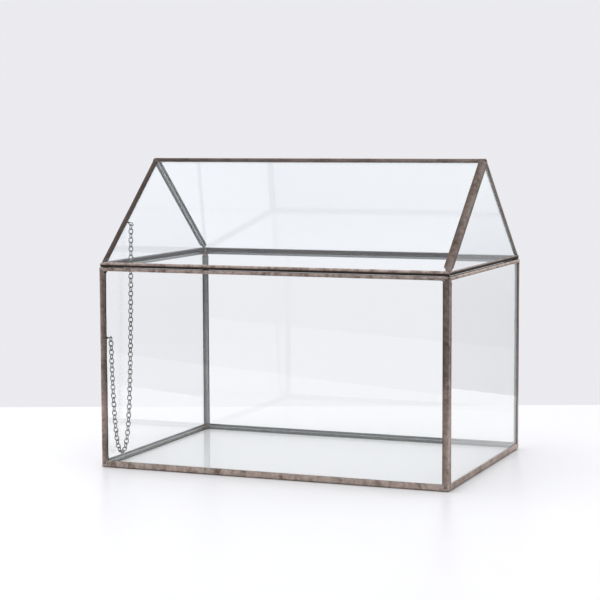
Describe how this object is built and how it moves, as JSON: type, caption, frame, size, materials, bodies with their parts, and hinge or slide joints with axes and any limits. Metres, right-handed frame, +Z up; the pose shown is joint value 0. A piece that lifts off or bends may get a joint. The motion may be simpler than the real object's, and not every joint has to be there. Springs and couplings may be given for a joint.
{
  "type": "card box",
  "caption": "House-shaped glass card box: clear panes in dark patina solder seams, a gable lid hinged along the back edge, and a fine limit chain inside.",
  "frame": {"origin": "middle of the bottom of the whole object's box, on the surface that it rests on", "axes": "+X along the ridge to the right, +Y towards the hinges at the back, +Z up"},
  "size_m": [0.25, 0.173, 0.211],
  "materials": {
    "clear_glass": "polished clear float glass",
    "patina_solder": "satin dark bronze patina over solder and copper foil",
    "hinge_brass": "satin dark patina",
    "chain_metal": "dull grey plated"
  },
  "bodies": {
    "case": {"bottom_seam_back": "patina_solder", "bottom_seam_front": "patina_solder", "bottom_seam_left": "patina_solder", "bottom_seam_right": "patina_solder", "chain_eye_post": "chain_metal", "hinge_left_case_knuckles": "hinge_brass", "hinge_left_pin": "hinge_brass", "hinge_right_case_knuckles": "hinge_brass", "hinge_right_pin": "hinge_brass", "pane_back": "clear_glass", "pane_floor": "clear_glass", "pane_front": "clear_glass", "pane_left": "clear_glass", "pane_right": "clear_glass", "post_back_left": "patina_solder", "post_back_right": "patina_solder", "post_front_left": "patina_solder", "post_front_right": "patina_solder", "rim_back": "patina_solder", "rim_front": "patina_solder", "rim_left": "patina_solder", "rim_right": "patina_solder"},
    "lid": {"chain_eye_lid": "chain_metal", "eave_back": "patina_solder", "eave_front": "patina_solder", "gable_foot_left": "patina_solder", "gable_foot_right": "patina_solder", "hinge_left_lid_knuckle": "hinge_brass", "hinge_right_lid_knuckle": "hinge_brass", "pane_gable_left": "clear_glass", "pane_gable_right": "clear_glass", "pane_roof_back": "clear_glass", "pane_roof_front": "clear_glass", "rake_back_left": "patina_solder", "rake_back_right": "patina_solder", "rake_front_left": "patina_solder", "rake_front_right": "patina_solder", "ridge_seam": "patina_solder"},
    "chain_run_01": {"chain_run_01": "chain_metal"},
    "chain_run_02": {"chain_run_02": "chain_metal"},
    "chain_run_03": {"chain_run_03": "chain_metal"},
    "chain_run_04": {"chain_run_04": "chain_metal"},
    "chain_run_05": {"chain_run_05": "chain_metal"},
    "chain_run_06": {"chain_run_06": "chain_metal"},
    "chain_run_07": {"chain_run_07": "chain_metal"},
    "chain_run_08": {"chain_run_08": "chain_metal"}
  },
  "joints": [
    {"name": "lid_hinge", "type": "hinge", "parent": "case", "child": "lid", "pos_m": [0, 0.08505, 0.13815], "axis": [-1, 0, 0], "range_deg": [0, 77.6]},
    {"name": "chain_run_01_pivot", "type": "hinge", "parent": "case", "child": "chain_run_01", "pos_m": [-0.119, -0.08055, 0.0895], "axis": [1, 0, 0], "range_deg": [0, 132.18]},
    {"name": "chain_run_02_pivot", "type": "hinge", "parent": "chain_run_01", "child": "chain_run_02", "pos_m": [-0.119, -0.07087, 0.01116], "axis": [1, 0, 0], "range_deg": [-29.15, 0]},
    {"name": "chain_run_03_pivot", "type": "hinge", "parent": "chain_run_02", "child": "chain_run_03", "pos_m": [-0.119, -0.06952, 0.00929], "axis": [1, 0, 0], "range_deg": [-23.45, 0]},
    {"name": "chain_run_04_pivot", "type": "hinge", "parent": "chain_run_03", "child": "chain_run_04", "pos_m": [-0.119, -0.06628, 0.00732], "axis": [1, 0, 0], "range_deg": [-41.69, 0]},
    {"name": "chain_run_05_pivot", "type": "hinge", "parent": "chain_run_04", "child": "chain_run_05", "pos_m": [-0.119, -0.06401, 0.00771], "axis": [1, 0, 0], "range_deg": [-34.37, 0]},
    {"name": "chain_run_06_pivot", "type": "hinge", "parent": "chain_run_05", "child": "chain_run_06", "pos_m": [-0.119, -0.06127, 0.01034], "axis": [1, 0, 0], "range_deg": [-16.88, 0]},
    {"name": "chain_run_07_pivot", "type": "hinge", "parent": "chain_run_06", "child": "chain_run_07", "pos_m": [-0.119, -0.06012, 0.01233], "axis": [1, 0, 0], "range_deg": [-16.29, 0]},
    {"name": "chain_run_08_pivot", "type": "hinge", "parent": "lid", "child": "chain_run_08", "pos_m": [-0.119, -0.04864, 0.16398], "axis": [1, 0, 0], "range_deg": [0, 39.85]}
  ],
  "couplings": [
    {"joint": "chain_run_01_pivot", "follows": "lid_hinge", "ratio": 1.6968},
    {"joint": "chain_run_02_pivot", "follows": "lid_hinge", "ratio": -0.36915},
    {"joint": "chain_run_03_pivot", "follows": "lid_hinge", "ratio": -0.29575},
    {"joint": "chain_run_04_pivot", "follows": "lid_hinge", "ratio": -0.53071},
    {"joint": "chain_run_05_pivot", "follows": "lid_hinge", "ratio": -0.43649},
    {"joint": "chain_run_06_pivot", "follows": "lid_hinge", "ratio": -0.21109},
    {"joint": "chain_run_07_pivot", "follows": "lid_hinge", "ratio": -0.20349},
    {"joint": "chain_run_08_pivot", "follows": "lid_hinge", "ratio": 0.50697}
  ]
}
